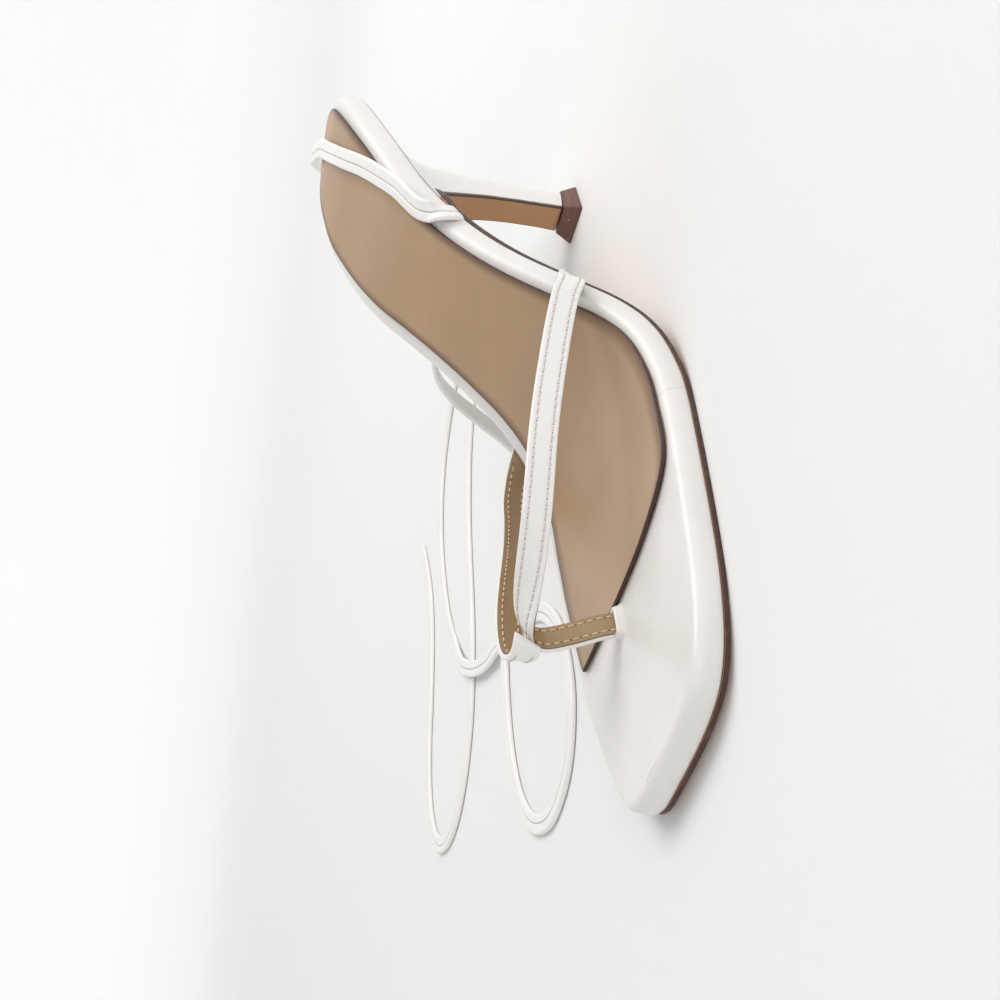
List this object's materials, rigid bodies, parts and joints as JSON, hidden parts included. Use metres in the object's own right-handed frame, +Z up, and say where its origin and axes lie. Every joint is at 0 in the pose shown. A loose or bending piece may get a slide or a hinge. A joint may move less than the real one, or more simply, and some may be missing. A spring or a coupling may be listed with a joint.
{
  "type": "lace up heeled sandal",
  "caption": "Left square-toed sandal with a slim flared heel, straps meeting at a post between the toes, and long flat ties that lace round the ankle.",
  "frame": {"origin": "on the floor, under the middle of the shoe's length and width, measured without the ties", "axes": "+X to the toe along the shoe's length, +Y to the wearer's left, which is the outer side of this left shoe, +Z up"},
  "size_m": [0.3063, 0.2583, 0.0772],
  "materials": {
    "outsole": "smooth tan leather with a dark edge",
    "footbed": "semi-gloss white leather over a padded board",
    "insole": "satin tan leather",
    "heel": "semi-gloss white leather over a moulded heel",
    "heel_lift": "brown moulded top lift",
    "upper": "white leather, tan lining",
    "laces": "folded white leather ties"
  },
  "bodies": {
    "root": {"outsole": "outsole", "footbed": "footbed", "insole": "insole", "heel": "heel", "heel_lift": "heel_lift", "upper": "upper", "lace_lateral": "laces", "lace_medial": "laces"}
  },
  "joints": []
}
